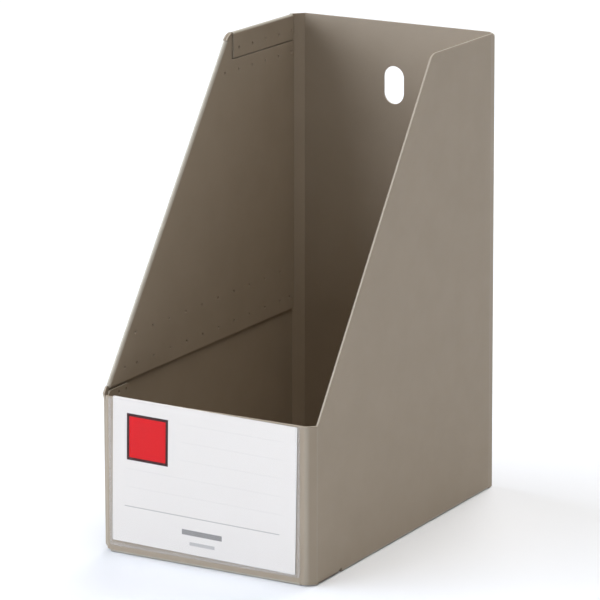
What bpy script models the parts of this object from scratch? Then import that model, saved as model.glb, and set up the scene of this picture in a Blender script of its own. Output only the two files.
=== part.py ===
"""Magazine file holder, folded from one polypropylene sheet, with a label pocket on its front.

Frame: X to the right, Y to the back (the front faces -Y), Z up. The origin is the middle of the footprint, on the
surface the holder stands on. All values are in metres and degrees.

The sheet closes on itself at the left wall, which is two layers thick: the slanted edge is turned in as a large
lining, the top edge as a narrow hem, and the front panel's glue flap lies in the corner below them. Each area of the
sheet between two creases is its own solid, and so is each fold, with a small gap between neighbours.
"""
import math

import bmesh
import bpy
from mathutils import Matrix, Vector

# Overall size of the folded box, without the label pocket that stands on its front face
WIDTH = 0.155
DEPTH = 0.252
HEIGHT = 0.315
FRONT_HEIGHT = 0.1045

# Sheet, creases and gaps
SHEET = 0.0015
GAP = 0.0003
FOLD_RADIUS = 0.002
HEM_RADIUS = SHEET + GAP / 2
CREASE_LIP = 0.001
FOLD_STEPS = 8
CORNER_STEPS = 8
LAYER = SHEET + GAP

# Double creases at the two corners that fold flat, as legs of the chamfer along each wall
FRONT_RIGHT_LEG = 0.005
BACK_LEFT_LEG_X = 0.007
BACK_LEFT_LEG_Y = 0.008

# Side walls
SLANT_TOP = 0.1565
SLANT_FOOT_LEFT = 0.0025
SLANT_FOOT_RIGHT = 0.006
SLANT_CORNER_RADIUS = 0.010
LEFT_FRONT_RADIUS = 0.004
BACK_CORNER_RADIUS = 0.0015

# Layers turned into the left wall
LINING_BOTTOM = 0.109
HEM_START = 0.162
HEM_BOTTOM = 0.2975
GLUE_FLAP_DEPTH = 0.0275
GLUE_FLAP_TOP = 0.107
FLAP_RADIUS = 0.003

# Bottom flaps
FRONT_FLAP_DEPTH = 0.0375
FRONT_FLAP_SHOULDER = 0.009
BOTTOM_PANEL_START = 0.038
BACK_FLAP_DEPTH = 0.040
LEFT_FLAP_WIDTH = 0.0395
LEFT_FLAP_START = 0.008
MITRE_START = 0.001

# Finger hole in the back panel
HOLE_WIDTH = 0.0155
HOLE_HEIGHT = 0.026
HOLE_CENTRE_Z = 0.2718

# Label pocket and card
FILM = 0.0003
CARD = 0.0003
POCKET_LEFT = -0.0725
POCKET_RIGHT = 0.068
POCKET_BOTTOM = 0.0055
POCKET_SEAM = 0.0022
CARD_CLEARANCE = 0.0004
CARD_RADIUS = 0.001

# Where the walls lie
LEFT = -WIDTH / 2
RIGHT = WIDTH / 2
POCKET_STACK = FILM + CARD + 2 * GAP
FRONT = (POCKET_STACK - DEPTH) / 2
BACK = FRONT + DEPTH
INNER_LAYER = LEFT + LAYER
FOLD_REACH = FOLD_RADIUS + GAP
HEM_REACH = HEM_RADIUS + GAP

PARTS = "magazine_file_holder"
CUTTERS = "cutters"


def clear_scene():
    for item in list(bpy.data.objects):
        bpy.data.objects.remove(item, do_unlink=True)
    for name in (PARTS, CUTTERS):
        collection = bpy.data.collections.new(name)
        bpy.context.scene.collection.children.link(collection)


def make_material(name, color, roughness, alpha=1.0):
    material = bpy.data.materials.new(name)
    material.use_nodes = True
    shader = material.node_tree.nodes["Principled BSDF"]
    shader.inputs["Base Color"].default_value = (*color, 1.0)
    shader.inputs["Roughness"].default_value = roughness
    shader.inputs["Metallic"].default_value = 0.0
    shader.inputs["Alpha"].default_value = alpha
    return material


# Outlines -----------------------------------------------------------------------------------------------------


def arc(radius, start, end, steps, centre=(0.0, 0.0)):
    """Points on an arc, from one angle to another in degrees."""
    points = []
    for step in range(steps + 1):
        angle = math.radians(start + (end - start) * step / steps)
        points.append((centre[0] + radius * math.cos(angle), centre[1] + radius * math.sin(angle)))
    return points


def rounded(corners):
    """Outline from (a, b, radius) corners; a corner with a radius becomes an arc tangent to both of its sides."""
    points = []
    for index, (a, b, radius) in enumerate(corners):
        here = Vector((a, b))
        if radius == 0.0:
            points.append(here)
            continue
        before = (Vector(corners[index - 1][:2]) - here).normalized()
        after = (Vector(corners[(index + 1) % len(corners)][:2]) - here).normalized()
        half_angle = before.angle(after) / 2
        centre = here + (before + after).normalized() * radius / math.sin(half_angle)
        reach = radius / math.tan(half_angle)
        first = here + before * reach - centre
        last = here + after * reach - centre
        turn = first.angle_signed(last)
        for step in range(CORNER_STEPS + 1):
            points.append(centre + Matrix.Rotation(-turn * step / CORNER_STEPS, 2) @ first)
    return [tuple(point) for point in points]


def rectangle(a0, a1, b0, b1, radius=0.0):
    return rounded([(a0, b0, radius), (a1, b0, radius), (a1, b1, radius), (a0, b1, radius)])


class Slant:
    """The slanted edge of a side wall: its foot on the front panel's height, its top on the holder's height."""

    def __init__(self, foot):
        self.foot = Vector((FRONT + foot, FRONT_HEIGHT))
        self.top = Vector((FRONT + SLANT_TOP, HEIGHT))
        self.along = (self.top - self.foot).normalized()
        self.inward = Vector((self.along.y, -self.along.x))
        self.angle = math.atan2(self.along.y, self.along.x)
        self.length = (self.top - self.foot).length
        self.corner_reach = SLANT_CORNER_RADIUS * math.tan(self.angle / 2)

    def point(self, distance, inset=0.0):
        """(y, z) at a distance from the foot, set back from the edge."""
        return self.foot + self.along * distance + self.inward * inset

    def at_height(self, z, inset=0.0):
        """(y, z) at a height, set back from the edge."""
        distance = (z - self.foot.y - self.inward.y * inset) / self.along.y
        return self.point(distance, inset)


# Solids -------------------------------------------------------------------------------------------------------


def add_object(name, mesh, material, collection=PARTS):
    item = bpy.data.objects.new(name, mesh)
    bpy.data.collections[collection].objects.link(item)
    if material is not None:
        mesh.materials.append(material)
    return item


def frame(origin, first, run):
    """Placement with local X along first, local Z along run and local Y square to both."""
    first = Vector(first)
    run = Vector(run)
    second = run.cross(first)
    turn = Matrix((first, second, run)).transposed().to_4x4()
    return Matrix.Translation(Vector(origin)) @ turn


# How a plate lies: the axis its thickness is measured along, then local X and local Z of its outline
PLATE_AXES = {
    "X": ((1, 0, 0), (0, 1, 0), (1, 0, 0)),
    "Y": ((0, 1, 0), (1, 0, 0), (0, -1, 0)),
    "Z": ((0, 0, 1), (1, 0, 0), (0, 0, 1)),
}


def plate(name, normal, low, high, outline, material, collection=PARTS):
    """Flat sheet panel between two planes: its outline is (y, z) for normal X, (x, z) for Y and (x, y) for Z."""
    curve = bpy.data.curves.new(name + "_outline", "CURVE")
    curve.dimensions = "2D"
    curve.fill_mode = "BOTH"
    curve.extrude = (high - low) / 2
    spline = curve.splines.new("POLY")
    spline.points.add(len(outline) - 1)
    for point, (a, b) in zip(spline.points, outline):
        point.co = (a, b, 0.0, 1.0)
    spline.use_cyclic_u = True

    guide = bpy.data.objects.new(name + "_outline", curve)
    bpy.data.collections[CUTTERS].objects.link(guide)
    evaluated = guide.evaluated_get(bpy.context.evaluated_depsgraph_get())
    mesh = bpy.data.meshes.new_from_object(evaluated)
    mesh.name = name
    shape = bmesh.new()
    shape.from_mesh(mesh)
    bmesh.ops.remove_doubles(shape, verts=shape.verts, dist=1e-7)
    bmesh.ops.recalc_face_normals(shape, faces=shape.faces)
    shape.to_mesh(mesh)
    shape.free()
    bpy.data.objects.remove(guide, do_unlink=True)
    bpy.data.curves.remove(curve)

    item = add_object(name, mesh, material, collection)
    axis, first, run = PLATE_AXES[normal]
    item.matrix_world = frame(Vector(axis) * (low + high) / 2, first, run)
    return item


def bent_sheet(name, profile, length, placement, material):
    """Sheet bent along a profile of its outer side, in local XY, and running along local Z."""
    shape = bmesh.new()
    start = [shape.verts.new((x, y, 0.0)) for x, y in profile]
    end = [shape.verts.new((x, y, length)) for x, y in profile]
    for index in range(len(profile) - 1):
        shape.faces.new((start[index], start[index + 1], end[index + 1], end[index]))
    mesh = bpy.data.meshes.new(name)
    shape.to_mesh(mesh)
    shape.free()

    item = add_object(name, mesh, material)
    item.matrix_world = placement
    solidify = item.modifiers.new("sheet", "SOLIDIFY")
    solidify.thickness = SHEET
    solidify.offset = -1.0
    solidify.use_even_offset = True
    mesh.shade_smooth()
    mesh.set_sharp_from_angle(angle=math.radians(30))
    return item


def corner_fold(name, axis, first, run, length, material):
    """Fold through a right angle. It bulges away from its axis, opposite to local X and local Y."""
    profile = arc(FOLD_RADIUS, 180, 270, FOLD_STEPS)
    return bent_sheet(name, profile, length, frame(axis, first, run), material)


def hem_fold(name, axis, outward, run, length, material):
    """Fold back on itself, round a layer of the same sheet."""
    profile = arc(HEM_RADIUS, -90, 90, 2 * FOLD_STEPS)
    return bent_sheet(name, profile, length, frame(axis, outward, run), material)


def crease_strip(name, corner, first, legs, low, high, material):
    """Upright double crease across a corner, with a short lip of each neighbouring wall."""
    leg_first, leg_second = legs
    profile = [
        (0.0, leg_second + CREASE_LIP),
        (0.0, leg_second),
        (leg_first, 0.0),
        (leg_first + CREASE_LIP, 0.0),
    ]
    placement = frame((*corner, low), first, (0, 0, 1))
    return bent_sheet(name, profile, high - low, placement, material)


def block(name, low, high, material, collection=PARTS):
    low = Vector(low)
    high = Vector(high)
    size = high - low
    shape = bmesh.new()
    bmesh.ops.create_cube(shape, size=1.0, matrix=Matrix.Diagonal((*size, 1.0)))
    mesh = bpy.data.meshes.new(name)
    shape.to_mesh(mesh)
    shape.free()
    item = add_object(name, mesh, material, collection)
    item.location = (low + high) / 2
    return item


def cut(item, cutter):
    cutter.hide_render = True
    cutter.display_type = "WIRE"
    boolean = item.modifiers.new(cutter.name, "BOOLEAN")
    boolean.operation = "DIFFERENCE"
    boolean.solver = "EXACT"
    boolean.object = cutter


# The sheet ----------------------------------------------------------------------------------------------------


def build_front(sheet):
    fold_x = INNER_LAYER + FOLD_RADIUS
    panel_left = INNER_LAYER + FOLD_REACH
    panel_right = RIGHT - FRONT_RIGHT_LEG - CREASE_LIP - GAP
    outline = rectangle(panel_left, panel_right, FOLD_REACH, FRONT_HEIGHT)
    plate("front_panel", "Y", FRONT, FRONT + SHEET, outline, sheet)

    fold_axis = (fold_x, FRONT + FOLD_RADIUS, FOLD_REACH)
    fold_length = FRONT_HEIGHT - FOLD_REACH
    corner_fold("front_left_fold", fold_axis, (1, 0, 0), (0, 0, 1), fold_length, sheet)

    flap_low = LAYER + FOLD_REACH
    outline = rectangle(FRONT + FOLD_REACH, FRONT + GLUE_FLAP_DEPTH, flap_low, GLUE_FLAP_TOP, FLAP_RADIUS)
    plate("front_glue_flap", "X", INNER_LAYER, INNER_LAYER + SHEET, outline, sheet)

    corner = (RIGHT, FRONT)
    legs = (FRONT_RIGHT_LEG, FRONT_RIGHT_LEG)
    crease_strip("front_right_crease_strip", corner, (0, 1, 0), legs, LAYER, FRONT_HEIGHT, sheet)


def build_right(sheet):
    slant = Slant(SLANT_FOOT_RIGHT)
    wall_front = FRONT + FRONT_RIGHT_LEG + CREASE_LIP + GAP
    wall_back = BACK - FOLD_REACH
    shoulder = slant.foot.y + (wall_front - slant.foot.x) * math.tan(slant.angle)
    outline = rounded([
        (wall_front, FOLD_REACH, 0.0),
        (wall_back, FOLD_REACH, 0.0),
        (wall_back, HEIGHT, BACK_CORNER_RADIUS),
        (*slant.top, SLANT_CORNER_RADIUS),
        (wall_front, shoulder, 0.0),
    ])
    plate("right_side_panel", "X", RIGHT - SHEET, RIGHT, outline, sheet)

    fold_axis = (RIGHT - FOLD_RADIUS, BACK - FOLD_RADIUS, LAYER)
    fold_length = HEIGHT - BACK_CORNER_RADIUS - LAYER
    corner_fold("back_right_fold", fold_axis, (-1, 0, 0), (0, 0, 1), fold_length, sheet)


def build_back(sheet):
    wall_left = LEFT + BACK_LEFT_LEG_X + CREASE_LIP + GAP
    wall_right = RIGHT - FOLD_REACH
    outline = rectangle(wall_left, wall_right, LAYER + FOLD_REACH, HEIGHT)
    panel = plate("back_panel", "Y", BACK - SHEET, BACK, outline, sheet)

    hole = rectangle(
        -HOLE_WIDTH / 2,
        HOLE_WIDTH / 2,
        HOLE_CENTRE_Z - HOLE_HEIGHT / 2,
        HOLE_CENTRE_Z + HOLE_HEIGHT / 2,
        HOLE_WIDTH / 2 - 1e-6,
    )
    cut(panel, plate("finger_hole", "Y", BACK - 3 * SHEET, BACK + SHEET, hole, None, CUTTERS))

    corner = (LEFT, BACK)
    legs = (BACK_LEFT_LEG_Y, BACK_LEFT_LEG_X)
    crease_strip("back_left_crease_strip", corner, (0, -1, 0), legs, LAYER, HEIGHT, sheet)


def build_left(sheet):
    slant = Slant(SLANT_FOOT_LEFT)
    wall_back = BACK - BACK_LEFT_LEG_Y - CREASE_LIP - GAP
    hem_front = FRONT + HEM_START
    notch = hem_front - GAP
    wall_low = LAYER + FOLD_REACH
    fold_start = FRONT + LEFT_FLAP_START
    slant_fold_start = (LINING_BOTTOM + HEM_RADIUS * slant.along.x - FRONT_HEIGHT) / slant.along.y
    slant_fold_end = slant.length - slant.corner_reach - 2 * GAP
    recess_start = slant_fold_start - GAP
    recess_end = slant_fold_end + GAP

    outline = rounded([
        (FRONT, LAYER, LEFT_FRONT_RADIUS),
        (fold_start - GAP, LAYER, 0.0),
        (fold_start - GAP, wall_low, 0.0),
        (wall_back, wall_low, 0.0),
        (wall_back, HEIGHT - HEM_REACH, 0.0),
        (notch, HEIGHT - HEM_REACH, 0.0),
        (notch, HEIGHT, 0.0),
        (*slant.top, SLANT_CORNER_RADIUS),
        (*slant.point(recess_end), 0.0),
        (*slant.point(recess_end, HEM_REACH), 0.0),
        (*slant.point(recess_start, HEM_REACH), 0.0),
        (*slant.point(recess_start), 0.0),
        (*slant.foot, 0.0),
        (FRONT, FRONT_HEIGHT - SHEET, 0.0),
    ])
    plate("left_outer_panel", "X", LEFT, LEFT + SHEET, outline, sheet)

    outline = rounded([
        (*slant.at_height(LINING_BOTTOM, HEM_REACH), 0.0),
        (wall_back, LINING_BOTTOM, 0.0),
        (wall_back, HEM_BOTTOM - GAP, 0.0),
        (notch, HEM_BOTTOM - GAP, 0.0),
        (notch, HEIGHT, 0.0),
        (*slant.top, SLANT_CORNER_RADIUS),
        (*slant.point(recess_end), 0.0),
        (*slant.point(recess_end, HEM_REACH), 0.0),
    ])
    plate("left_inner_lining", "X", INNER_LAYER, INNER_LAYER + SHEET, outline, sheet)

    outline = rectangle(hem_front, wall_back, HEM_BOTTOM, HEIGHT - HEM_REACH)
    plate("left_top_hem", "X", INNER_LAYER, INNER_LAYER + SHEET, outline, sheet)

    run = (0.0, *slant.along)
    outward = (0.0, *(-slant.inward))
    axis = (LEFT + HEM_RADIUS, *slant.point(slant_fold_start, HEM_RADIUS))
    hem_fold("left_slant_fold", axis, outward, run, slant_fold_end - slant_fold_start, sheet)

    axis = (LEFT + HEM_RADIUS, hem_front, HEIGHT - HEM_RADIUS)
    hem_fold("left_top_fold", axis, (0, 0, 1), (0, 1, 0), wall_back - hem_front, sheet)


def build_bottom(sheet):
    panel_front = FRONT + BOTTOM_PANEL_START
    panel_back = BACK - GAP
    panel_right = RIGHT - FOLD_REACH
    axis = (RIGHT - FOLD_RADIUS, panel_front, FOLD_RADIUS)
    fold_length = BACK - FOLD_REACH - panel_front
    corner_fold("right_bottom_fold", axis, (-1, 0, 0), (0, 1, 0), fold_length, sheet)
    outline = [
        (LEFT + GAP, panel_front),
        (panel_right, panel_front),
        (panel_right, panel_back),
        (LEFT + BACK_LEFT_LEG_X + GAP, panel_back),
        (LEFT + GAP, BACK - BACK_LEFT_LEG_Y - GAP),
    ]
    plate("bottom_panel", "Z", 0.0, SHEET, outline, sheet)

    front_left = INNER_LAYER + FOLD_REACH
    front_right = RIGHT - FRONT_RIGHT_LEG - CREASE_LIP - GAP
    axis = (front_left, FRONT + FOLD_RADIUS, FOLD_RADIUS)
    corner_fold("front_bottom_fold", axis, (0, 1, 0), (1, 0, 0), front_right - front_left, sheet)
    wide_left = LEFT + GAP
    wide_right = RIGHT - SHEET - GAP
    shoulder = FRONT + FRONT_FLAP_SHOULDER
    flap_back = FRONT + FRONT_FLAP_DEPTH
    outline = [
        (front_left, FRONT + FOLD_REACH),
        (front_right, FRONT + FOLD_REACH),
        (wide_right, shoulder),
        (wide_right, flap_back),
        (wide_left, flap_back),
        (wide_left, shoulder),
    ]
    plate("front_bottom_flap", "Z", 0.0, SHEET, outline, sheet)

    back_left = LEFT + BACK_LEFT_LEG_X + CREASE_LIP + GAP
    back_right = RIGHT - FOLD_REACH
    axis = (back_left, BACK - FOLD_RADIUS, LAYER + FOLD_RADIUS)
    corner_fold("back_bottom_fold", axis, (0, 0, 1), (1, 0, 0), back_right - back_left, sheet)
    mitre = BACK_FLAP_DEPTH - FOLD_REACH - MITRE_START
    outline = [
        (back_left + MITRE_START, BACK - FOLD_REACH - MITRE_START),
        (back_left + MITRE_START, BACK - FOLD_REACH),
        (back_right, BACK - FOLD_REACH),
        (back_right, BACK - BACK_FLAP_DEPTH),
        (back_left + MITRE_START + mitre, BACK - BACK_FLAP_DEPTH),
    ]
    plate("back_bottom_flap", "Z", LAYER, LAYER + SHEET, outline, sheet)

    flap_start = FRONT + LEFT_FLAP_START
    flap_end = BACK - BACK_LEFT_LEG_Y - CREASE_LIP - GAP
    flap_left = LEFT + FOLD_REACH
    flap_right = LEFT + LEFT_FLAP_WIDTH
    axis = (LEFT + FOLD_RADIUS, flap_start, LAYER + FOLD_RADIUS)
    corner_fold("left_bottom_fold", axis, (0, 0, 1), (0, 1, 0), flap_end - flap_start, sheet)
    outline = [
        (flap_left, flap_start),
        (flap_right, flap_start),
        (flap_right, flap_end - MITRE_START - (flap_right - flap_left)),
        (flap_left, flap_end - MITRE_START),
    ]
    plate("left_bottom_flap", "Z", LAYER, LAYER + SHEET, outline, sheet)


# The label ----------------------------------------------------------------------------------------------------


def build_label(film, card):
    film_front = FRONT - POCKET_STACK
    seam_back = FRONT - GAP
    slot_low = POCKET_BOTTOM + POCKET_SEAM
    pocket = block(
        "label_pocket",
        (POCKET_LEFT, film_front, POCKET_BOTTOM),
        (POCKET_RIGHT, seam_back, FRONT_HEIGHT - GAP),
        film,
    )
    slot = block(
        "pocket_slot",
        (POCKET_LEFT + POCKET_SEAM, film_front + FILM, slot_low),
        (POCKET_RIGHT - POCKET_SEAM, FRONT, FRONT_HEIGHT + POCKET_SEAM),
        None,
        CUTTERS,
    )
    cut(pocket, slot)

    outline = rectangle(
        POCKET_LEFT + POCKET_SEAM + CARD_CLEARANCE,
        POCKET_RIGHT - POCKET_SEAM - CARD_CLEARANCE,
        slot_low + GAP,
        FRONT_HEIGHT,
        CARD_RADIUS,
    )
    plate("label_card", "Y", FRONT - GAP - CARD, FRONT - GAP, outline, card)


def main():
    clear_scene()
    sheet = make_material("sheet", (0.40, 0.37, 0.33), 0.55)
    film = make_material("film", (0.92, 0.93, 0.94), 0.15, alpha=0.25)
    card = make_material("card", (0.90, 0.90, 0.92), 0.70)
    build_front(sheet)
    build_right(sheet)
    build_back(sheet)
    build_left(sheet)
    build_bottom(sheet)
    build_label(film, card)


main()
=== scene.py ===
"""Looks of the magazine file holder: one folded polypropylene sheet, a clear label pocket and a printed card.

The sheet is drawn as its flat blank and then folded: every area has an outline in blank coordinates,
which are the distance s along the outer line of the walls and the height z, and a rule that places a
blank point on the folded box. All values are in metres and radians, in the part's own frame: +X right,
+Y to the back, +Z up.
"""
import math

import bmesh
import bpy
from mathutils import Matrix, Vector
from mathutils.geometry import delaunay_2d_cdt


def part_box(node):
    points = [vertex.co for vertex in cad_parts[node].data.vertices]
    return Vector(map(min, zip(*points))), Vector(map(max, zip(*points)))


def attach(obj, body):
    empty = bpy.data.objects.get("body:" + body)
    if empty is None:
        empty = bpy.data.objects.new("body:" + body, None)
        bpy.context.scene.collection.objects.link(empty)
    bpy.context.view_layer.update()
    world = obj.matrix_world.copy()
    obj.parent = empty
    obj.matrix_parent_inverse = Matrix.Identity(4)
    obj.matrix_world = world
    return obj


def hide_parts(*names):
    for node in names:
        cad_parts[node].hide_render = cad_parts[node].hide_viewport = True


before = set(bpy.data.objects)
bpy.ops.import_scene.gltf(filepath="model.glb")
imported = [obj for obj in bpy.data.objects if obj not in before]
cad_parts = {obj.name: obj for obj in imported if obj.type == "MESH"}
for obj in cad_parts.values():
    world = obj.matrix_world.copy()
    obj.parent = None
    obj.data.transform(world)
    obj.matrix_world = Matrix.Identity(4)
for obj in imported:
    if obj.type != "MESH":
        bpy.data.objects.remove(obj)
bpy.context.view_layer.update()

# Planes of the box, from the frame
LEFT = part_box("left_outer_panel")[0].x
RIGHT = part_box("right_side_panel")[1].x
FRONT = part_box("front_panel")[0].y
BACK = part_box("back_panel")[1].y
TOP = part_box("right_side_panel")[1].z
FRONT_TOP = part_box("front_panel")[1].z
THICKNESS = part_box("front_panel")[1].y - FRONT
INNER_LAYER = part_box("front_glue_flap")[0].x
INNER_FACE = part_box("front_glue_flap")[1].x
UPPER_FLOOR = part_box("left_bottom_flap")[0].z

# Creases: outer radii, how pale the walls' folds are painted (stress whitening and a painted highlight), and
# the flat lip on each side of a fold's area
FOLD_RADIUS = 0.002
CREASE_RADIUS = 0.0016
FRONT_LEFT_RADIUS = 0.0017
FRONT_RIGHT_RADIUS = 0.0055
HEM_RADIUS = (INNER_FACE - LEFT) / 2
SOFT_RADIUS = 0.012
WALL_CREASE = 0.22
LIP = 0.001

# Steps of a fold's arc and of a rounded corner, and a length too small to matter
FOLD_STEP = math.radians(7.5)
CORNER_STEPS = 8
SMALL = 1e-6

# Corners of the walls in plan, as legs along the two walls
FRONT_RIGHT_LEG = 0.005
BACK_LEFT_LEG_X = 0.007
BACK_LEFT_LEG_Y = 0.008

# The right wall's tail, its last stretch before the back, turns inwards; the top of that corner leans forward
TAIL_LENGTH = 0.0075
TAIL_INSET = 0.0009
TAIL_BOTTOM = 0.0004
BACK_LEAN = 0.0045
LEAN_START = FRONT + 0.150

# Slanted edges of the side walls, and the left wall's front edge below its slanted one
SLANT_TOP = FRONT + 0.1565
SLANT_FOOT_LEFT = FRONT + 0.0003
SLANT_RISE_LEFT = 0.0012
SLANT_FOOT_RIGHT = FRONT + 0.006
SLANT_CORNER_RADIUS = 0.010
LEFT_FRONT_RADIUS = 0.004
LEFT_FRONT_INSET = 0.0016

# Back right corner at the top: the wall drops towards the fold, and the fold dips below the back
TOP_CORNER_RUN = 0.0028
TOP_CORNER_RADIUS = 0.0022
TOP_CORNER_DROP = 0.0024
TOP_FOLD_DROP = 0.0005

# Front right corner at the bottom: cuts beside the two bottom folds, and the strip's end between them
RELIEF_WIDTH = 0.0013
CORNER_BOTTOM = 0.0011
STEP_RELIEF_WIDTH = 0.0036
STEP_RELIEF_HEIGHT = 0.0010

# Lining and hem of the left wall, with the gaps that show as dark lines, and the glue flap
LINING_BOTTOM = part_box("left_inner_lining")[0].z
HEM_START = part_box("left_top_hem")[0].y
HEM_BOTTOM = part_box("left_top_hem")[0].z
HEM_CLEARANCE = 0.0026
HEM_LOWER_GAP = 0.0006
CUT_GAP = 0.0003
GLUE_FLAP_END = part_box("front_glue_flap")[1].y
GLUE_FLAP_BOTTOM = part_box("front_glue_flap")[0].z
GLUE_FLAP_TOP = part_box("front_glue_flap")[1].z

# Finger hole
HOLE_WIDTH = 0.0155
HOLE_HEIGHT = 0.026
HOLE_CENTRE_Z = 0.2718

# Outlines of the flaps
FLAP_RADIUS = 0.003
FRONT_FLAP_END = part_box("front_bottom_flap")[1].y
FRONT_FLAP_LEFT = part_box("front_bottom_flap")[0].x
FRONT_FLAP_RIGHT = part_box("front_bottom_flap")[1].x
FRONT_FLAP_SHOULDER = FRONT + 0.009
BOTTOM_PANEL_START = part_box("bottom_panel")[0].y
BACK_FLAP_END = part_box("back_bottom_flap")[0].y
LEFT_FLAP_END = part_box("left_bottom_flap")[1].x
LEFT_FLAP_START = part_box("left_bottom_flap")[0].y

# Edges: angles between faces up to which they count as flat, and from which they are cut or sharp
EDGE_BEVEL = 0.00022
BEVEL_SEGMENTS = 2
FLAT_ANGLE = 0.002
CUT_ANGLE = math.radians(40)
SHARP_ANGLE = math.radians(50)


def weld_row(height, first, last, count):
    """Evenly spaced spot welds at one height, as distances behind the front face."""
    return [(FRONT + first + (last - first) * i / (count - 1), height) for i in range(count)]


# Spot welds: radius of a pit at its mouth and its floor, its depth, and the (y, z) places
WELD_MOUTH = 0.0012
WELD_FLOOR = 0.0007
WELD_DEPTH = 0.0011
HEM_WELDS = weld_row(0.3040, 0.1691, 0.2395, 5)
LINING_WELDS = (
    weld_row(0.2893, 0.1505, 0.2395, 6)
    + weld_row(0.1384, 0.0357, 0.2231, 10)
    + weld_row(0.1180, 0.0370, 0.2230, 10)
    + [(FRONT + 0.0224, 0.1180), (FRONT + 0.2361, 0.1180)]
)
GLUE_WELDS = [(FRONT + 0.0148, 0.1035), (FRONT + 0.0238, 0.1035)]


# Outlines -----------------------------------------------------------------------------------------


def left_of(vector):
    """The vector turned a quarter to the left."""
    return Vector((-vector.y, vector.x))


def turned(vector, angle):
    """The vector turned to the left by an angle."""
    return Vector((
        vector.x * math.cos(angle) - vector.y * math.sin(angle),
        vector.x * math.sin(angle) + vector.y * math.cos(angle),
    ))


def rounded(corners):
    """Outline from (a, b) or (a, b, radius) corners; a radius becomes an arc tangent to both sides."""
    points = []
    for index, corner in enumerate(corners):
        here = Vector(corner[:2])
        radius = corner[2] if len(corner) > 2 else 0.0
        if radius == 0.0:
            points.append(here)
            continue
        before = (Vector(corners[index - 1][:2]) - here).normalized()
        after = (Vector(corners[(index + 1) % len(corners)][:2]) - here).normalized()
        half_angle = before.angle(after) / 2
        centre = here + (before + after).normalized() * radius / math.sin(half_angle)
        reach = radius / math.tan(half_angle)
        first = here + before * reach - centre
        last = here + after * reach - centre
        turn = math.atan2(first.x * last.y - first.y * last.x, first.dot(last))
        for step in range(CORNER_STEPS + 1):
            points.append(centre + turned(first, turn * step / CORNER_STEPS))
    return points


def rectangle(x0, x1, z0, z1, radius=0.0):
    return rounded([(x0, z0, radius), (x1, z0, radius), (x1, z1, radius), (x0, z1, radius)])


def inside(point, ring):
    """True if a point lies inside a closed outline."""
    odd = False
    for index, a in enumerate(ring):
        b = ring[index - 1]
        if (a.y > point.y) != (b.y > point.y):
            if point.x < (b.x - a.x) * (point.y - a.y) / (b.y - a.y) + a.x:
                odd = not odd
    return odd


def middle_of(face, points):
    """Mean of a face's corners."""
    return sum((points[i] for i in face), Vector((0.0, 0.0))) / len(face)


def triangulated(outline, lines=(), holes=()):
    """Points and faces of a flat outline with holes, split along straight lines."""
    points = []
    edges = []
    for ring in (outline, *holes):
        first = len(points)
        points.extend(ring)
        edges.extend((first + i, first + (i + 1) % len(ring)) for i in range(len(ring)))
    for start, end in lines:
        points.extend((start, end))
        edges.append((len(points) - 2, len(points) - 1))
    found, _, faces, *_ = delaunay_2d_cdt(points, edges, [], 0, 0.1 * SMALL)
    kept = []
    for face in faces:
        centre = middle_of(face, found)
        if inside(centre, outline) and not any(inside(centre, hole) for hole in holes):
            kept.append(face)
    return found, kept


def leaned(place):
    """The open top gives a little: the back right corner leans forward, more the higher up."""
    across = min(max((place.x - LEFT) / (RIGHT - LEFT), 0.0), 1.0)
    behind = min(max((place.y - LEAN_START) / (BACK - LEAN_START), 0.0), 1.0)
    return place - Vector((0.0, BACK_LEAN * across * behind * place.z / TOP, 0.0))


# The walls and the folds --------------------------------------------------------------------------


class WallLine:
    """Outer line of the walls in plan, walked with the inside of the box on the left.

    runs holds where each straight wall and each fold starts: distance, point, heading, and radius or 0.
    folds holds where each fold starts and ends and how far it turns.
    """

    def __init__(self, corners):
        self.runs = []
        self.folds = []
        points = [Vector(corner[:2]) for corner in corners]
        s = 0.0
        here = points[0]
        for index in range(1, len(points)):
            heading = (points[index] - points[index - 1]).normalized()
            if index == len(points) - 1:
                self.runs.append((s, here, heading, 0.0))
                break
            following = (points[index + 1] - points[index]).normalized()
            turn = math.atan2(heading.x * following.y - heading.y * following.x, heading.dot(following))
            radius = corners[index][2]
            reach = radius * math.tan(turn / 2)
            self.runs.append((s, here, heading, 0.0))
            s += (points[index] - here).length - reach
            here = points[index] - heading * reach
            self.runs.append((s, here, heading, radius))
            self.folds.append((s, s + radius * turn, turn))
            s += radius * turn
            here = points[index] + following * reach

    def at(self, s):
        """Place in plan at a distance along the line."""
        passed = [run for run in self.runs if run[0] <= s + 0.001 * SMALL]
        start, point, heading, radius = passed[-1] if passed else self.runs[0]
        if radius == 0.0:
            return point + heading * (s - start)
        angle = (s - start) / radius
        centre = point + left_of(heading) * radius
        return centre - turned(left_of(heading), angle) * radius

    def station(self, wall, x, y):
        """Distance along the line of the place on a straight wall nearest to (x, y)."""
        start, point, heading, _ = self.runs[2 * wall]
        return start + (Vector((x, y)) - point).dot(heading)

    def place(self, point):
        """Place of a blank point on the folded box."""
        position = self.at(point.x)
        return leaned(Vector((position.x, position.y, point.y)))

    def lines(self, outline):
        """Upright lines that split the outline at every step of the wall's folds."""
        low = min(p.y for p in outline) - LIP
        high = max(p.y for p in outline) + LIP
        first = min(p.x for p in outline)
        last = max(p.x for p in outline)
        found = []
        for start, end, turn in self.folds:
            steps = max(2, round(turn / FOLD_STEP))
            for step in range(steps + 1):
                s = start + (end - start) * step / steps
                if first + SMALL < s < last - SMALL:
                    found.append((Vector((s, low)), Vector((s, high))))
        return found

    def crease(self, point):
        """How pale the sheet is painted, for stress whitening and a painted highlight: most in the middle of
        a fold of the walls, 0 outside the folds.
        """
        for start, end, _ in self.folds:
            if start < point.x < end:
                return WALL_CREASE * math.sin(math.pi * (point.x - start) / (end - start))
        return 0.0


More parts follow.
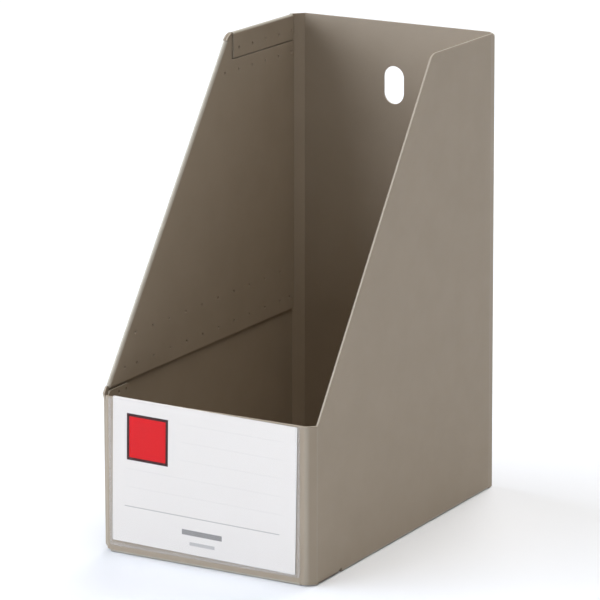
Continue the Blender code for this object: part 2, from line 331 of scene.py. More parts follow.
class FlapFold:
    """A straight fold in a flat wall: what lies beyond it turns towards the inside of the box."""

    def __init__(self, wall, start, end, radius, turn):
        self.start = Vector(start)
        self.along = (Vector(end) - self.start).normalized()
        self.out = Vector((self.along.y, -self.along.x))
        self.length = (Vector(end) - self.start).length
        self.radius = radius
        self.turn = turn
        self.arc = radius * turn
        self.wall_s, origin, heading, _ = WALLS.runs[2 * wall]
        self.origin = Vector((origin.x, origin.y, 0.0))
        self.heading = Vector((heading.x, heading.y, 0.0))
        self.inward = Vector((-heading.y, heading.x, 0.0))

    def blank(self, along, beyond):
        """Blank point at a distance along the fold and beyond it."""
        return self.start + self.along * along + self.out * beyond

    def bend(self, beyond):
        """A distance beyond the fold's start as flat before it, the angle turned, and flat after it."""
        return min(beyond, 0.0), min(max(beyond, 0.0) / self.radius, self.turn), max(beyond - self.arc, 0.0)

    def place(self, point):
        """Place of a blank point on the folded box."""
        offset = point - self.start
        along = offset.dot(self.along)
        before, angle, rest = self.bend(offset.dot(self.out))
        flat = before + self.radius * math.sin(angle) + rest * math.cos(self.turn)
        depth = self.radius * (1 - math.cos(angle)) + rest * math.sin(self.turn)
        in_wall = self.blank(along, flat)
        place = self.origin + self.heading * (in_wall.x - self.wall_s) + self.inward * depth
        return leaned(Vector((place.x, place.y, in_wall.y)))

    def lines(self, outline):
        """Lines along the fold that split the outline at every step of its arc."""
        reach = max((p - self.start).length for p in outline) + LIP
        steps = round(self.turn / FOLD_STEP)
        found = []
        for step in range(steps + 1):
            beyond = self.arc * step / steps
            found.append((self.blank(-reach, beyond), self.blank(reach, beyond)))
        return found

    def crease(self, point):
        """How pale the sheet is painted, for stress whitening and a painted highlight: most in the middle of
        the fold, 0 outside it.
        """
        beyond = (point - self.start).dot(self.out)
        if 0.0 < beyond < self.arc:
            return math.sin(math.pi * beyond / self.arc)
        return 0.0


class TurnedLayer(FlapFold):
    """The layer beyond a fold, flat everywhere, also where it reaches past the end of the fold."""

    def bend(self, beyond):
        return 0.0, self.turn, beyond - self.arc

    def lines(self, outline):
        return []

    def crease(self, point):
        return 0.0


WALLS = WallLine([
    (INNER_LAYER, GLUE_FLAP_END),
    (INNER_LAYER, FRONT, FRONT_LEFT_RADIUS),
    (RIGHT - FRONT_RIGHT_LEG, FRONT, FRONT_RIGHT_RADIUS),
    (RIGHT, FRONT + FRONT_RIGHT_LEG, CREASE_RADIUS),
    (RIGHT, BACK - TAIL_LENGTH, SOFT_RADIUS),
    (RIGHT - TAIL_INSET, BACK, FOLD_RADIUS),
    (LEFT + BACK_LEFT_LEG_X, BACK, CREASE_RADIUS),
    (LEFT, BACK - BACK_LEFT_LEG_Y, CREASE_RADIUS),
    (LEFT, FRONT),
])

# Straight walls and folds by their order along the line
FRONT_WALL, RIGHT_WALL, BACK_WALL, LEFT_WALL = 1, 3, 5, 7
FL_FOLD, FR_FIRST, FR_SECOND, SOFT, BR_FOLD, BL_FIRST, BL_SECOND = range(7)


def front_s(x):
    """Distance along the line of a place on the front wall. The next three are for the other walls."""
    return WALLS.station(FRONT_WALL, x, FRONT)


def right_s(y):
    return WALLS.station(RIGHT_WALL, RIGHT, y)


def back_s(x):
    return WALLS.station(BACK_WALL, x, BACK)


def left_s(y):
    return WALLS.station(LEFT_WALL, LEFT, y)


# Sheet pieces -------------------------------------------------------------------------------------


def object_from(shape, name):
    """Object in the scene from a bmesh, which is freed."""
    mesh = bpy.data.meshes.new(name)
    shape.to_mesh(mesh)
    shape.free()
    item = bpy.data.objects.new(name, mesh)
    bpy.context.scene.collection.objects.link(item)
    return item


def apply_modifiers(item):
    evaluated = item.evaluated_get(bpy.context.evaluated_depsgraph_get())
    item.data = bpy.data.meshes.new_from_object(evaluated)
    item.modifiers.clear()


def thicken(item, thickness):
    """Gives a flat mesh a thickness behind its faces."""
    solid = item.modifiers.new("thickness", "SOLIDIFY")
    solid.thickness = thickness
    solid.offset = -1.0
    return solid


def cut_with(item, cutter, name):
    cut = item.modifiers.new(name, "BOOLEAN")
    cut.operation = "DIFFERENCE"
    cut.solver = "EXACT"
    cut.object = cutter


def drop_loose_points(shape):
    bmesh.ops.delete(shape, geom=[v for v in shape.verts if not v.link_faces], context="VERTS")


def on_line(point, start, end):
    """True if a point lies on the endless line through two others."""
    along = (end - start).normalized()
    offset = point - start
    return abs(offset.x * along.y - offset.y * along.x) < 5 * SMALL


def weld_cutter(places):
    """Small tapered pits in the inner face of the left wall, at (y, z) places."""
    shape = bmesh.new()
    turn = Matrix.Rotation(math.pi / 2, 4, "Y")
    for y, z in places:
        bmesh.ops.create_cone(
            shape,
            cap_ends=True,
            segments=20,
            radius1=WELD_FLOOR,
            radius2=2 * WELD_MOUTH - WELD_FLOOR,
            depth=2 * WELD_DEPTH,
            matrix=Matrix.Translation((INNER_FACE, y, z)) @ turn,
        )
    return object_from(shape, "weld_pits")


def sheet_area(node, corners, rule=None, joined=(), holes=(), welds=()):
    """One area of the sheet. joined lists the sides, by their first corner, that go on into a neighbour."""
    rule = rule or WALLS
    outline = rounded(corners)
    points, faces = triangulated(outline, rule.lines(outline), holes)
    shape = bmesh.new()
    blank = shape.verts.layers.float_vector.new("blank")
    crease = shape.verts.layers.float.new("crease")
    verts = []
    for point in points:
        vert = shape.verts.new(rule.place(point))
        vert[blank] = (point.x, point.y, 0.0)
        vert[crease] = rule.crease(point)
        verts.append(vert)
    for face in faces:
        shape.faces.new([verts[i] for i in face])
    drop_loose_points(shape)
    bmesh.ops.dissolve_limit(shape, angle_limit=FLAT_ANGLE, verts=shape.verts, edges=shape.edges)
    item = object_from(shape, "sheet_" + node)
    item.data.materials.append(SHEET_MATERIAL)
    item.data.materials.append(CUT_MATERIAL)
    solid = thicken(item, THICKNESS)
    solid.use_even_offset = True
    solid.use_quality_normals = True
    solid.material_offset_rim = 1
    apply_modifiers(item)
    ends = [Vector(corner[:2]) for corner in corners]
    mark_cut_edges(item.data, [(ends[i], ends[(i + 1) % len(ends)]) for i in joined])

    bevel = item.modifiers.new("edges", "BEVEL")
    bevel.limit_method = "WEIGHT"
    bevel.width = EDGE_BEVEL
    bevel.segments = BEVEL_SEGMENTS
    bevel.use_clamp_overlap = False
    cutter = weld_cutter(welds) if welds else None
    if cutter is not None:
        cut_with(item, cutter, "welds")
    apply_modifiers(item)
    if cutter is not None:
        bpy.data.objects.remove(cutter, do_unlink=True)
    finish_shading(item)
    item.data.name = item.name
    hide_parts(node)
    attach(item, "holder")


def mark_cut_edges(mesh, joined):
    """Gives a bevel weight to the edges along cuts, and none to those where the sheet goes on."""
    shape = bmesh.new()
    shape.from_mesh(mesh)
    blank = shape.verts.layers.float_vector["blank"]
    weight = shape.edges.layers.float.new("bevel_weight_edge")
    for edge in shape.edges:
        if len(edge.link_faces) != 2 or edge.calc_face_angle() < CUT_ANGLE:
            continue
        ends = [Vector(vert[blank][:2]) for vert in edge.verts]
        if not any(all(on_line(end, *side) for end in ends) for side in joined):
            edge[weight] = 1.0
    shape.to_mesh(mesh)
    shape.free()


def finish_shading(item):
    item.data.shade_smooth()
    item.data.set_sharp_from_angle(angle=SHARP_ANGLE)
    weighted = item.modifiers.new("normals", "WEIGHTED_NORMAL")
    weighted.mode = "FACE_AREA"
    weighted.keep_sharp = True


# Materials ----------------------------------------------------------------------------------------


class Nodes:
    """Short way to build a material's node tree."""

    def __init__(self, name):
        self.material = bpy.data.materials.new(name)
        self.material.use_nodes = True
        self.tree = self.material.node_tree
        self.shader = self.tree.nodes["Principled BSDF"]
        self.output = self.tree.nodes["Material Output"]

    def add(self, kind, **settings):
        node = self.tree.nodes.new("ShaderNode" + kind)
        for name, value in settings.items():
            setattr(node, name, value)
        return node

    def join(self, source, target):
        self.tree.links.new(source, target)

    def noise(self, scale, detail=2.0, roughness=0.5, stretch=None):
        """Noise in the object's own space, so that the pattern stays on the piece."""
        texture = self.add("TexNoise")
        texture.inputs["Scale"].default_value = scale
        texture.inputs["Detail"].default_value = detail
        texture.inputs["Roughness"].default_value = roughness
        source = self.add("TexCoord").outputs["Object"]
        if stretch is not None:
            mapping = self.add("Mapping")
            mapping.inputs["Scale"].default_value = stretch
            self.join(source, mapping.inputs["Vector"])
            source = mapping.outputs["Vector"]
        self.join(source, texture.inputs["Vector"])
        return texture.outputs["Fac"]

    def ramp(self, source, low, high, start=0.0, end=1.0):
        """Value from low to high as source goes from start to end."""
        node = self.add("MapRange")
        node.inputs["From Min"].default_value = start
        node.inputs["From Max"].default_value = end
        node.inputs["To Min"].default_value = low
        node.inputs["To Max"].default_value = high
        self.join(source, node.inputs["Value"])
        return node.outputs["Result"]

    def mixed(self, factor, first, second):
        """Colour between two colours, given as values or sockets."""
        node = self.add("Mix", data_type="RGBA")
        self.join(factor, node.inputs[0])
        for socket, value in ((node.inputs[6], first), (node.inputs[7], second)):
            if isinstance(value, bpy.types.NodeSocket):
                self.join(value, socket)
            else:
                socket.default_value = (*value, 1.0)
        return node.outputs[2]

    def math(self, operation, first, second):
        node = self.add("Math", operation=operation)
        self.join(first, node.inputs[0])
        self.join(second, node.inputs[1])
        return node.outputs[0]

    def mixed_shader(self, factor, first, second):
        node = self.add("MixShader")
        for source, socket in zip((factor, first, second), node.inputs):
            self.join(source, socket)
        return node.outputs["Shader"]

    def bump(self, height, distance, strength, shader=None):
        """Relief in metres from a height between 0 and 1, on the main shader or another one."""
        node = self.add("Bump")
        node.inputs["Distance"].default_value = distance
        node.inputs["Strength"].default_value = strength
        self.join(height, node.inputs["Height"])
        self.join(node.outputs["Normal"], (shader or self.shader).inputs["Normal"])


SHEET_COLOR = (0.350, 0.286, 0.213)
SHEET_DARK = (0.338, 0.276, 0.204)
# Pale colour of the creases: stress whitening together with a painted highlight on the folds' rounding
CREASE_COLOR = (0.430, 0.392, 0.325)
CREASE_SHARE = 0.6
CUT_COLOR = (0.40, 0.340, 0.265)
CUT_DARK = (0.36, 0.305, 0.235)
FIBRE_SHADE = 0.96
FILM_TINT = (0.993, 0.994, 0.996, 1.0)
FILM_MILK = (0.86, 0.87, 0.89, 1.0)
FILM_IOR = 1.18


def sheet_material():
    """Matt polypropylene: extruded sheet with a fine sand grain, faint flow streaks, and paler creases that
    are partly stress whitening and partly a painted highlight on the folds' rounding.
    """
    nodes = Nodes("polypropylene_sheet")
    mottle = nodes.noise(38.0, detail=3.0)
    base = nodes.mixed(nodes.ramp(mottle, 0.0, 1.0, 0.35, 0.65), SHEET_DARK, SHEET_COLOR)
    # Paler creases: stress whitening, plus a painted highlight that lightens the folds where they round over
    crease = nodes.add("Attribute", attribute_name="crease")
    whitened_and_lit = nodes.ramp(crease.outputs["Fac"], 0.0, 1.0, 0.0, CREASE_SHARE)
    color = nodes.mixed(whitened_and_lit, base, CREASE_COLOR)
    nodes.join(color, nodes.shader.inputs["Base Color"])
    grain = nodes.noise(2600.0, detail=2.0, roughness=0.6)
    streaks = nodes.noise(90.0, detail=2.0, stretch=(1.0, 1.0, 0.12))
    nodes.join(nodes.ramp(nodes.noise(120.0), 0.50, 0.60), nodes.shader.inputs["Roughness"])
    nodes.shader.inputs["Specular IOR Level"].default_value = 0.35
    height = nodes.math("ADD", grain, nodes.ramp(streaks, 0.0, 1.6))
    nodes.bump(height, 0.00004, 0.45)
    return nodes.material


def cut_material():
    """Die-cut edge of the sheet: paler and a little smoother, with fine lines along the cut."""
    nodes = Nodes("polypropylene_cut_edge")
    lines = nodes.noise(900.0, detail=1.0, stretch=(1.0, 0.1, 1.0))
    nodes.join(nodes.mixed(lines, CUT_DARK, CUT_COLOR), nodes.shader.inputs["Base Color"])
    nodes.join(nodes.ramp(nodes.noise(300.0), 0.42, 0.55), nodes.shader.inputs["Roughness"])
    nodes.bump(lines, 0.00003, 0.5)
    return nodes.material


def print_material(name, color, roughness=0.6):
    """Ink or paper with a fine fibre structure."""
    nodes = Nodes(name)
    fibre = nodes.noise(1400.0, detail=3.0)
    darker = tuple(FIBRE_SHADE * channel for channel in color)
    nodes.join(nodes.mixed(fibre, darker, color), nodes.shader.inputs["Base Color"])
    nodes.join(nodes.ramp(fibre, roughness - 0.05, roughness + 0.05), nodes.shader.inputs["Roughness"])
    nodes.shader.inputs["Specular IOR Level"].default_value = 0.08
    nodes.bump(fibre, 0.00001, 0.4)
    return nodes.material


def film_material(name, haze=0.0):
    """Clear film: see-through, a little milky where welded, with a soft gloss that grows at a low angle."""
    nodes = Nodes(name)
    clear = nodes.add("BsdfTransparent")
    clear.inputs["Color"].default_value = FILM_TINT
    milky = nodes.add("BsdfDiffuse")
    milky.inputs["Color"].default_value = FILM_MILK
    share = nodes.ramp(nodes.noise(220.0), 0.8 * haze, 1.2 * haze)
    body = nodes.mixed_shader(share, clear.outputs["BSDF"], milky.outputs["BSDF"])
    gloss = nodes.add("BsdfGlossy")
    gloss.inputs["Color"].default_value = (1.0, 1.0, 1.0, 1.0)
    nodes.join(nodes.ramp(nodes.noise(60.0), 0.08, 0.16), gloss.inputs["Roughness"])
    nodes.bump(nodes.noise(25.0), 0.0002, 0.3, gloss)
    # Light leaving the film would be mirrored whole inside it, so only the faces it enters by have a gloss
    fresnel = nodes.add("Fresnel")
    fresnel.inputs["IOR"].default_value = FILM_IOR
    entering = nodes.ramp(nodes.add("NewGeometry").outputs["Backfacing"], 1.0, 0.0)
    reflected = nodes.math("MULTIPLY", fresnel.outputs["Fac"], entering)
    film = nodes.mixed_shader(reflected, body, gloss.outputs["BSDF"])
    nodes.join(film, nodes.output.inputs["Surface"])
    nodes.tree.nodes.remove(nodes.shader)
    return nodes.material


SHEET_MATERIAL = sheet_material()
CUT_MATERIAL = cut_material()


# The folded sheet ---------------------------------------------------------------------------------


def box_outline(s0, s1, z0, z1):
    return [(s0, z0), (s1, z0), (s1, z1), (s0, z1)]


def fold_start(fold):
    """Where the area of a fold of the walls starts, with its lip."""
    return WALLS.folds[fold][0] - LIP


def fold_end(fold):
    return WALLS.folds[fold][1] + LIP


def bottom_fold(wall, start, end, height):
    """The fold of a bottom flap, from start to end along the walls."""
    return FlapFold(wall, (start, height), (end, height), FOLD_RADIUS, math.pi / 2)


def strip_area(node, fold, along_start=0.0, along_end=None):
    """The rounded stretch of a flap's fold, with a flat lip on each side."""
    along_end = fold.length if along_end is None else along_end
    corners = [
        fold.blank(along_start, -LIP),
        fold.blank(along_end, -LIP),
        fold.blank(along_end, fold.arc + LIP),
        fold.blank(along_start, fold.arc + LIP),
    ]
    sheet_area(node, corners, fold, joined=(0, 2))


def flap_area(node, fold, places, welds=()):
    """A flap given by (along, reach beyond the fold's axis, radius); its last side runs on into the fold."""
    corners = [(*fold.blank(along, fold.arc + reach), radius) for along, reach, radius in places]
    sheet_area(node, corners, fold, joined=(len(corners) - 1,), welds=welds)


def build_front():
    """Glue flap, front left fold, front panel and crease strip, then the bottom fold and flap."""
    glue_end = fold_start(FL_FOLD)
    sheet_area("front_glue_flap", [
        (0.0, GLUE_FLAP_BOTTOM, FLAP_RADIUS),
        (glue_end, GLUE_FLAP_BOTTOM),
        (glue_end, FRONT_TOP),
        (glue_end - FLAP_RADIUS / 2, GLUE_FLAP_TOP, FLAP_RADIUS / 2),
        (0.0, GLUE_FLAP_TOP, FLAP_RADIUS),
    ], joined=(1,), welds=GLUE_WELDS)
    low = FOLD_RADIUS + LIP
    panel_start = fold_end(FL_FOLD)
    sheet_area("front_left_fold", box_outline(glue_end, panel_start, FOLD_RADIUS, FRONT_TOP), joined=(1, 3))
    panel_end = fold_start(FR_FIRST)
    flap_end = panel_end - RELIEF_WIDTH
    sheet_area("front_panel", [
        (panel_start, low),
        (flap_end, low),
        (flap_end + CUT_GAP, CORNER_BOTTOM),
        (panel_end, CORNER_BOTTOM),
        (panel_end, FRONT_TOP),
        (panel_start, FRONT_TOP),
    ], joined=(0, 3, 5))
    strip = box_outline(fold_start(FR_FIRST), fold_end(FR_SECOND), CORNER_BOTTOM, FRONT_TOP)
    sheet_area("front_right_crease_strip", strip, joined=(1, 3))

    fold = bottom_fold(FRONT_WALL, panel_start, flap_end, FOLD_RADIUS)
    strip_area("front_bottom_fold", fold)
    left = front_s(FRONT_FLAP_LEFT) - fold.start.x
    right = front_s(FRONT_FLAP_RIGHT) - fold.start.x
    shoulder = FRONT_FLAP_SHOULDER - FRONT - FOLD_RADIUS
    end = FRONT_FLAP_END - FRONT - FOLD_RADIUS
    flap_area("front_bottom_flap", fold, [
        (0.0, LIP, 0.0),
        (left, shoulder, 0.0),
        (left, end, FLAP_RADIUS),
        (right, end, FLAP_RADIUS),
        (right, shoulder, 0.0),
        (fold.length, LIP, 0.0),
    ])


def build_right():
    """Right side panel and back right fold, then the bottom fold and the bottom panel."""
    start = fold_end(FR_SECOND)
    end = fold_start(BR_FOLD)
    low = FOLD_RADIUS + LIP
    flap_start = right_s(BOTTOM_PANEL_START)
    flap_end = fold_start(SOFT) + LIP
    sheet_area("right_side_panel", [
        (start, FOLD_RADIUS),
        (flap_start - STEP_RELIEF_WIDTH, FOLD_RADIUS),
        (flap_start - STEP_RELIEF_WIDTH, FOLD_RADIUS + STEP_RELIEF_HEIGHT, STEP_RELIEF_HEIGHT / 2),
        (flap_start, FOLD_RADIUS + STEP_RELIEF_HEIGHT),
        (flap_start, low),
        (flap_end, low),
        (flap_end, TAIL_BOTTOM),
        (end, TAIL_BOTTOM),
        (end, TOP - TOP_CORNER_DROP),
        (end - TOP_CORNER_RUN, TOP, TOP_CORNER_RADIUS),
        (right_s(SLANT_TOP), TOP, SLANT_CORNER_RADIUS),
        (right_s(SLANT_FOOT_RIGHT), FRONT_TOP),
        (start, FRONT_TOP),
    ], joined=(4, 7, 12))
    sheet_area("back_right_fold", [
        (end, TAIL_BOTTOM),
        (fold_end(BR_FOLD), TAIL_BOTTOM),
        (fold_end(BR_FOLD), TOP - TOP_FOLD_DROP),
        (end, TOP - TOP_CORNER_DROP),
    ], joined=(1, 3))

    fold = bottom_fold(RIGHT_WALL, flap_start, flap_end, FOLD_RADIUS)
    strip_area("right_bottom_fold", fold)
    across = RIGHT - FOLD_RADIUS - LEFT - CUT_GAP
    back_end = right_s(BACK - CUT_GAP) - flap_start
    chamfer_x = across - BACK_LEFT_LEG_X
    chamfer_y = right_s(BACK - BACK_LEFT_LEG_Y - CUT_GAP) - flap_start
    flap_area("bottom_panel", fold, [
        (0.0, LIP, 0.0),
        (0.0, across, FLAP_RADIUS),
        (chamfer_y, across, 0.0),
        (back_end, chamfer_x, 0.0),
        (back_end, FOLD_RADIUS + CUT_GAP, 0.0),
        (back_end - THICKNESS, FOLD_RADIUS + CUT_GAP, 0.0),
        (back_end - THICKNESS, TAIL_INSET, 0.0),
        (fold.length, CUT_GAP, 0.0),
    ])


def build_back():
    """Back panel with the finger hole and the crease strip, then the bottom fold and flap."""
    start = fold_end(BR_FOLD)
    end = fold_start(BL_FIRST)
    floor = UPPER_FLOOR + FOLD_RADIUS
    half = HOLE_WIDTH / 2
    middle = back_s(0.0)
    hole = rectangle(
        middle - half, middle + half,
        HOLE_CENTRE_Z - HOLE_HEIGHT / 2, HOLE_CENTRE_Z + HOLE_HEIGHT / 2,
        half - SMALL,
    )
    sheet_area("back_panel", [
        (start, floor + LIP),
        (end, floor + LIP),
        (end, TOP),
        (start + TOP_CORNER_RUN / 2, TOP),
        (start, TOP - TOP_FOLD_DROP),
    ], joined=(0, 1, 4), holes=[hole])
    strip = box_outline(end, fold_end(BL_SECOND), UPPER_FLOOR, TOP)
    sheet_area("back_left_crease_strip", strip, joined=(1, 3))

    fold = bottom_fold(BACK_WALL, start, end, floor)
    strip_area("back_bottom_fold", fold)
    reach = BACK - FOLD_RADIUS - BACK_FLAP_END
    flap_area("back_bottom_flap", fold, [
        (0.0, LIP, 0.0),
        (0.0, reach, FLAP_RADIUS),
        (fold.length - reach, reach, FLAP_RADIUS),
        (fold.length - LIP, LIP, 0.0),
    ])


def build_left():
    """Outer panel, the lining turned in over its slanted edge, the hem over its top, and the bottom flap."""
    back = fold_end(BL_SECOND)
    front = left_s(FRONT + LEFT_FRONT_INSET)
    floor = UPPER_FLOOR + FOLD_RADIUS
    flap_front = left_s(LEFT_FLAP_START)
    recess = left_s(HEM_START - CUT_GAP)
    notch = left_s(HEM_START - HEM_CLEARANCE)
    top_fold = TOP - HEM_RADIUS

    foot = Vector((left_s(SLANT_FOOT_LEFT), FRONT_TOP + SLANT_RISE_LEFT))
    top = Vector((left_s(SLANT_TOP), TOP))
    along = (top - foot).normalized()
    out = Vector((along.y, -along.x))
    axis = (LEFT_WALL, foot - out * HEM_RADIUS, top - out * HEM_RADIUS, HEM_RADIUS, math.pi)
    slant = FlapFold(*axis)
    slope = math.atan2(along.y, -along.x)
    first = (LINING_BOTTOM + HEM_RADIUS * out.y - foot.y) / along.y
    last = slant.length - SLANT_CORNER_RADIUS * math.tan(slope / 2) - 2 * CUT_GAP
    inset = HEM_RADIUS + LIP

    def slanted(distance, depth=0.0):
        """Blank point at a distance along the slanted edge from its foot, and a depth below it."""
        return foot + along * distance - out * depth

    sheet_area("left_outer_panel", [
        (back, floor + LIP),
        (flap_front, floor + LIP),
        (flap_front, UPPER_FLOOR),
        (front, UPPER_FLOOR, LEFT_FRONT_RADIUS),
        (front, FRONT_TOP - 2 * THICKNESS),
        foot,
        slanted(first - CUT_GAP),
        slanted(first - CUT_GAP, inset),
        slanted(last + CUT_GAP, inset),
        slanted(last + CUT_GAP),
        (*top, SLANT_CORNER_RADIUS),
        (recess, TOP),
        (recess, top_fold - LIP),
        (back, top_fold - LIP),
    ], joined=(0, 7, 12, 13))

    def turned_in(place):
        """Blank point of the lining that lies at a place on the wall once it is folded in."""
        offset = Vector(place) - slant.start
        return tuple(slant.blank(offset.dot(slant.along), slant.arc - offset.dot(slant.out)))

    strip_area("left_slant_fold", slant, first, last)
    at_bottom = (LINING_BOTTOM + inset * out.y - foot.y) / along.y
    corner = rounded([(recess, TOP), (*top, SLANT_CORNER_RADIUS), foot])[1:-1]
    lining = [
        slanted(at_bottom, inset),
        (back, LINING_BOTTOM),
        (back, HEM_BOTTOM - HEM_LOWER_GAP),
        (notch, HEM_BOTTOM - HEM_LOWER_GAP),
        (notch, TOP - CUT_GAP),
        *(place for place in corner if place.x > notch + LIP),
        slanted(last + CUT_GAP),
        slanted(last + CUT_GAP, inset),
    ]
    turned = [turned_in(place) for place in lining]
    layer = TurnedLayer(*axis)
    sheet_area("left_inner_lining", turned, layer, joined=(len(turned) - 1,), welds=LINING_WELDS)

    hem = FlapFold(LEFT_WALL, (left_s(HEM_START), top_fold), (back, top_fold), HEM_RADIUS, math.pi)
    strip_area("left_top_fold", hem)
    flap_area("left_top_hem", hem, [
        (0.0, LIP, 0.0),
        (0.0, top_fold - HEM_BOTTOM, 0.0),
        (hem.length, top_fold - HEM_BOTTOM, 0.0),
        (hem.length, LIP, 0.0),
    ], welds=HEM_WELDS)

    fold = bottom_fold(LEFT_WALL, back, flap_front, floor)
    strip_area("left_bottom_fold", fold)
    reach = LEFT_FLAP_END - LEFT - FOLD_RADIUS
    flap_area("left_bottom_flap", fold, [
        (LIP, LIP, 0.0),
        (LIP + reach, reach, FLAP_RADIUS),
        (fold.length, reach, FLAP_RADIUS),
        (fold.length, LIP, 0.0),
    ])


build_front()
build_right()
build_back()
build_left()


# Label pocket and card ----------------------------------------------------------------------------

CARD_TILT = math.radians(0.95)
CARD_RADIUS = 0.001
POCKET_FOOT_RADIUS = 0.0015
POCKET_TOP_RADIUS = 0.0008
POCKET_PLAY = 0.0012
FILM_BEVEL = 0.00006
WELD_HAZE = 0.10
FACING = 0.5  # how far a face has to turn to the front to be printed on

# Print on the card, as (x0, x1, z0, z1), and for the lines as x0, x1 and heights
FRAME = (-0.0593, -0.0285, 0.0636, 0.0946)
FRAME_WIDTH = 0.0019
INK_LINE = 0.0006
SHORT_LINES = (-0.0210, 0.0550, (0.0935, 0.0816, 0.0696))
LONG_LINES = (-0.0600, 0.0550, (0.0576, 0.0457))
DARK_RULE = (-0.0608, 0.0537, (0.0325,))
GREY_BAR = (-0.0178, 0.0118, 0.0206, 0.0241)
PALE_BAR = (-0.0120, 0.0065, 0.0140, 0.0163)

# name, colour, roughness; the first is the card itself
INKS = [
    ("card_paper", (0.780, 0.735, 0.685), 0.6),
    ("card_red", (0.67, 0.012, 0.016), 0.5),
    ("card_dark_frame", (0.055, 0.022, 0.022), 0.5),
    ("card_ruled_line", (0.741, 0.698, 0.651), 0.6),
    ("card_dark_rule", (0.468, 0.441, 0.411), 0.6),
    ("card_grey_bar", (0.303, 0.288, 0.275), 0.6),
    ("card_pale_bar", (0.515, 0.490, 0.470), 0.6),
]
RED, DARK, LINE, RULE, GREY, PALE = range(1, len(INKS))


def upright_plate(name, outline, front, back, regions=(), materials=()):
    """Flat upright plate from an outline in (x, z). regions are (outline, material index) on its front."""
    edges = [pair for ring, _ in regions for pair in zip(ring, ring[1:] + ring[:1])]
    points, faces = triangulated(outline, edges)
    shape = bmesh.new()
    verts = [shape.verts.new((p.x, front, p.y)) for p in points]
    for face in faces:
        made = shape.faces.new([verts[i] for i in face])
        centre = middle_of(face, points)
        for ring, index in regions:
            if inside(centre, ring):
                made.material_index = index
    bmesh.ops.dissolve_limit(
        shape, angle_limit=FLAT_ANGLE, verts=shape.verts, edges=shape.edges, delimit={"MATERIAL"},
    )
    drop_loose_points(shape)
    item = object_from(shape, name)
    for material in materials:
        item.data.materials.append(material)
    thicken(item, back - front)
    apply_modifiers(item)
    for polygon in item.data.polygons:
        if polygon.normal.y > -FACING:
            polygon.material_index = 0
    return item


def ink_lines(x0, x1, heights, ink):
    """Printed lines from x0 to x1 at some heights."""
    return [(rectangle(x0, x1, z - INK_LINE / 2, z + INK_LINE / 2), ink) for z in heights]


def build_card():
    """Printed card, a little out of square in its pocket. Plain bars stand in for the mark and its text."""
    low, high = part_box("label_card")
    x0, x1, z0, z1 = FRAME
    square = rectangle(x0 + FRAME_WIDTH, x1 - FRAME_WIDTH, z0 + FRAME_WIDTH, z1 - FRAME_WIDTH)
    regions = [
        (rectangle(*FRAME), DARK),
        (square, RED),
        *ink_lines(*SHORT_LINES, LINE),
        *ink_lines(*LONG_LINES, LINE),
        *ink_lines(*DARK_RULE, RULE),
        (rectangle(*GREY_BAR), GREY),
        (rectangle(*PALE_BAR), PALE),
    ]
    outline = rectangle(low.x, high.x, low.z, high.z, CARD_RADIUS)
    inks = [print_material(*ink) for ink in INKS]
    card = upright_plate("printed_card", outline, low.y, high.y, regions, inks)
    middle = Matrix.Translation((low + high) / 2)
    card.data.transform(middle @ Matrix.Rotation(CARD_TILT, 4, "Y") @ middle.inverted())
    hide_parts("label_card")
    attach(card, "label")


def build_pocket():
    """Clear pocket: a film in front and behind, with a slot for the card that opens at the top."""
    low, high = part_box("label_pocket")
    card_low, card_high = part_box("label_card")
    film = card_low.y - CUT_GAP - low.y
    seam = card_low.x - low.x - POCKET_PLAY
    outline = rounded([
        (low.x, low.z, POCKET_FOOT_RADIUS),
        (high.x, low.z, POCKET_FOOT_RADIUS),
        (high.x, high.z, POCKET_TOP_RADIUS),
        (low.x, high.z, POCKET_TOP_RADIUS),
    ])
    slot = rectangle(low.x + seam, high.x - seam, low.z + seam, high.z + seam)
    window = rectangle(
        card_low.x + CUT_GAP, card_high.x - CUT_GAP,
        card_low.z + CUT_GAP, high.z - CUT_GAP,
    )
    films = [film_material("welded_film", haze=WELD_HAZE), film_material("clear_film")]
    item = upright_plate("clear_label_pocket", outline, low.y, high.y, [(window, 1)], films)
    cutter = upright_plate("pocket_slot", slot, low.y + film, high.y + seam)
    cut_with(item, cutter, "slot")
    apply_modifiers(item)
    bpy.data.objects.remove(cutter, do_unlink=True)
    for polygon in item.data.polygons:
        clear = window if polygon.normal.y < -FACING else slot
        polygon.material_index = int(inside(Vector((polygon.center.x, polygon.center.z)), clear))
    bevel = item.modifiers.new("edges", "BEVEL")
    bevel.width = FILM_BEVEL
    bevel.segments = BEVEL_SEGMENTS
    bevel.limit_method = "ANGLE"
    finish_shading(item)
    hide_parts("label_pocket")
    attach(item, "holder")


build_card()
build_pocket()


# Floor, light and camera --------------------------------------------------------------------------

FLOOR_SIZE = 24.0
FLOOR_COLOR = (0.865, 0.895, 0.94)
FLOOR_DARK = (0.845, 0.875, 0.92)
BACKDROP_RADIUS = 11.5
BACKDROP_HEIGHT = 6.0
BACKDROP_SIDES = 96
BACKDROP_COLOR = (0.93, 0.94, 0.96, 1.0)
BACKDROP_STRENGTH = 0.9
CAMERA_AZIMUTH = math.radians(29.50)
CAMERA_ELEVATION = math.radians(14.20)
CAMERA_DISTANCE = 2.460
CAMERA_TARGET = Vector((-0.0034, 0.0006, 0.1488))
CAMERA_LENS = 225.0
CAMERA_SENSOR = 36.0
CAMERA_NEAR = 0.05
CAMERA_FAR = 60.0
LAMP_DISTANCE = 3.0
WORLD_STRENGTH = 0.0

# name, azimuth from the front towards +X, elevation, angle of the source, strength, colour
LIGHTS = [
    ("side_left", -80.0, 15.0, 50.0, 2.90, (0.89, 0.96, 1.08)),
    ("key_front_left", -40.0, 15.0, 50.0, 2.14, (0.89, 0.96, 1.08)),
    ("fill_right", 60.0, 45.0, 50.0, 0.26, (0.89, 0.96, 1.08)),
    ("back", 180.0, 45.0, 50.0, 2.13, (0.98, 0.97, 0.96)),
    ("top", 60.0, 75.0, 50.0, 1.33, (1.04, 0.97, 0.88)),
]


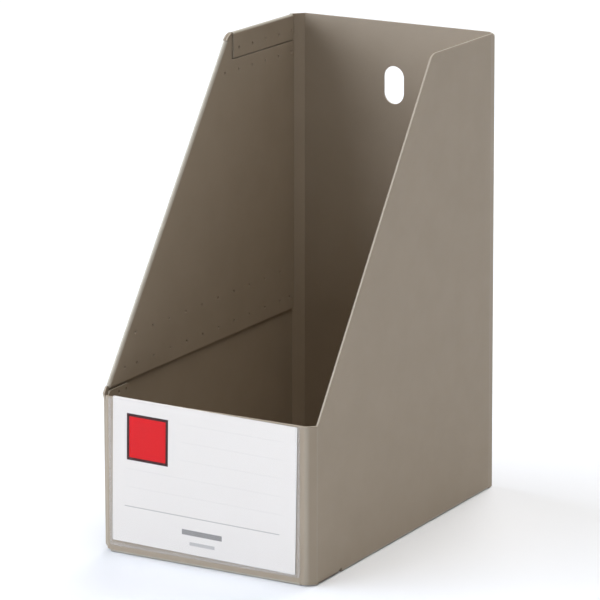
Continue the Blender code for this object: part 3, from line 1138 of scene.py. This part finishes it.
def direction(azimuth, elevation):
    """Unit vector towards a place round the object; azimuth 0 is its front."""
    return Vector((
        math.sin(azimuth) * math.cos(elevation),
        -math.cos(azimuth) * math.cos(elevation),
        math.sin(elevation),
    ))


def build_floor():
    nodes = Nodes("studio_floor")
    color = nodes.mixed(nodes.noise(6.0), FLOOR_DARK, FLOOR_COLOR)
    nodes.join(color, nodes.shader.inputs["Base Color"])
    nodes.shader.inputs["Roughness"].default_value = 0.7
    nodes.shader.inputs["Specular IOR Level"].default_value = 0.2
    shape = bmesh.new()
    bmesh.ops.create_grid(shape, x_segments=2, y_segments=2, size=FLOOR_SIZE / 2)
    floor = object_from(shape, "studio_floor")
    floor.data.materials.append(nodes.material)


def build_backdrop():
    """Pale wall far behind the object, seen only in low views; it neither lights nor shades anything."""
    nodes = Nodes("studio_backdrop")
    nodes.shader.inputs["Base Color"].default_value = (0.0, 0.0, 0.0, 1.0)
    nodes.shader.inputs["Roughness"].default_value = 1.0
    nodes.shader.inputs["Specular IOR Level"].default_value = 0.0
    nodes.shader.inputs["Emission Color"].default_value = BACKDROP_COLOR
    nodes.shader.inputs["Emission Strength"].default_value = BACKDROP_STRENGTH
    shape = bmesh.new()
    rise = Vector((0.0, 0.0, BACKDROP_HEIGHT))
    ring = [direction(math.tau * i / BACKDROP_SIDES, 0.0) * BACKDROP_RADIUS for i in range(BACKDROP_SIDES)]
    low = [shape.verts.new(place) for place in ring]
    high = [shape.verts.new(place + rise) for place in ring]
    for i in range(BACKDROP_SIDES):
        shape.faces.new((low[i - 1], low[i], high[i], high[i - 1]))
    wall = object_from(shape, "studio_backdrop")
    wall.data.materials.append(nodes.material)
    wall.visible_shadow = False
    wall.visible_diffuse = False
    wall.visible_glossy = False
    wall.visible_transmission = False


def build_lights():
    """Five soft lamps, fitted to the photo's shading, and a dark world: the floor's bounce is the fill."""
    world = bpy.data.worlds.new("studio")
    world.use_nodes = True
    background = world.node_tree.nodes["Background"]
    background.inputs["Color"].default_value = (1.0, 1.0, 1.0, 1.0)
    background.inputs["Strength"].default_value = WORLD_STRENGTH
    bpy.context.scene.world = world
    for name, azimuth, elevation, spread, strength, color in LIGHTS:
        data = bpy.data.lights.new(name, "SUN")
        data.angle = math.radians(spread)
        data.energy = strength
        data.color = color
        lamp = bpy.data.objects.new(name, data)
        source = direction(math.radians(azimuth), math.radians(elevation))
        lamp.location = CAMERA_TARGET + source * LAMP_DISTANCE
        lamp.rotation_euler = source.to_track_quat("Z", "Y").to_euler()
        bpy.context.scene.collection.objects.link(lamp)


def build_camera():
    """Camera at the photo's viewing angle; the Standard view keeps the colours as they are set."""
    back = direction(CAMERA_AZIMUTH, CAMERA_ELEVATION)
    data = bpy.data.cameras.new("camera")
    data.lens = CAMERA_LENS
    data.sensor_width = CAMERA_SENSOR
    data.clip_start = CAMERA_NEAR
    data.clip_end = CAMERA_FAR
    camera = bpy.data.objects.new("camera", data)
    camera.location = CAMERA_TARGET + back * CAMERA_DISTANCE
    camera.rotation_euler = (-back).to_track_quat("-Z", "Y").to_euler()
    bpy.context.scene.collection.objects.link(camera)
    bpy.context.scene.camera = camera
    bpy.context.scene.view_settings.view_transform = "Standard"


build_floor()
build_backdrop()
build_lights()
build_camera()
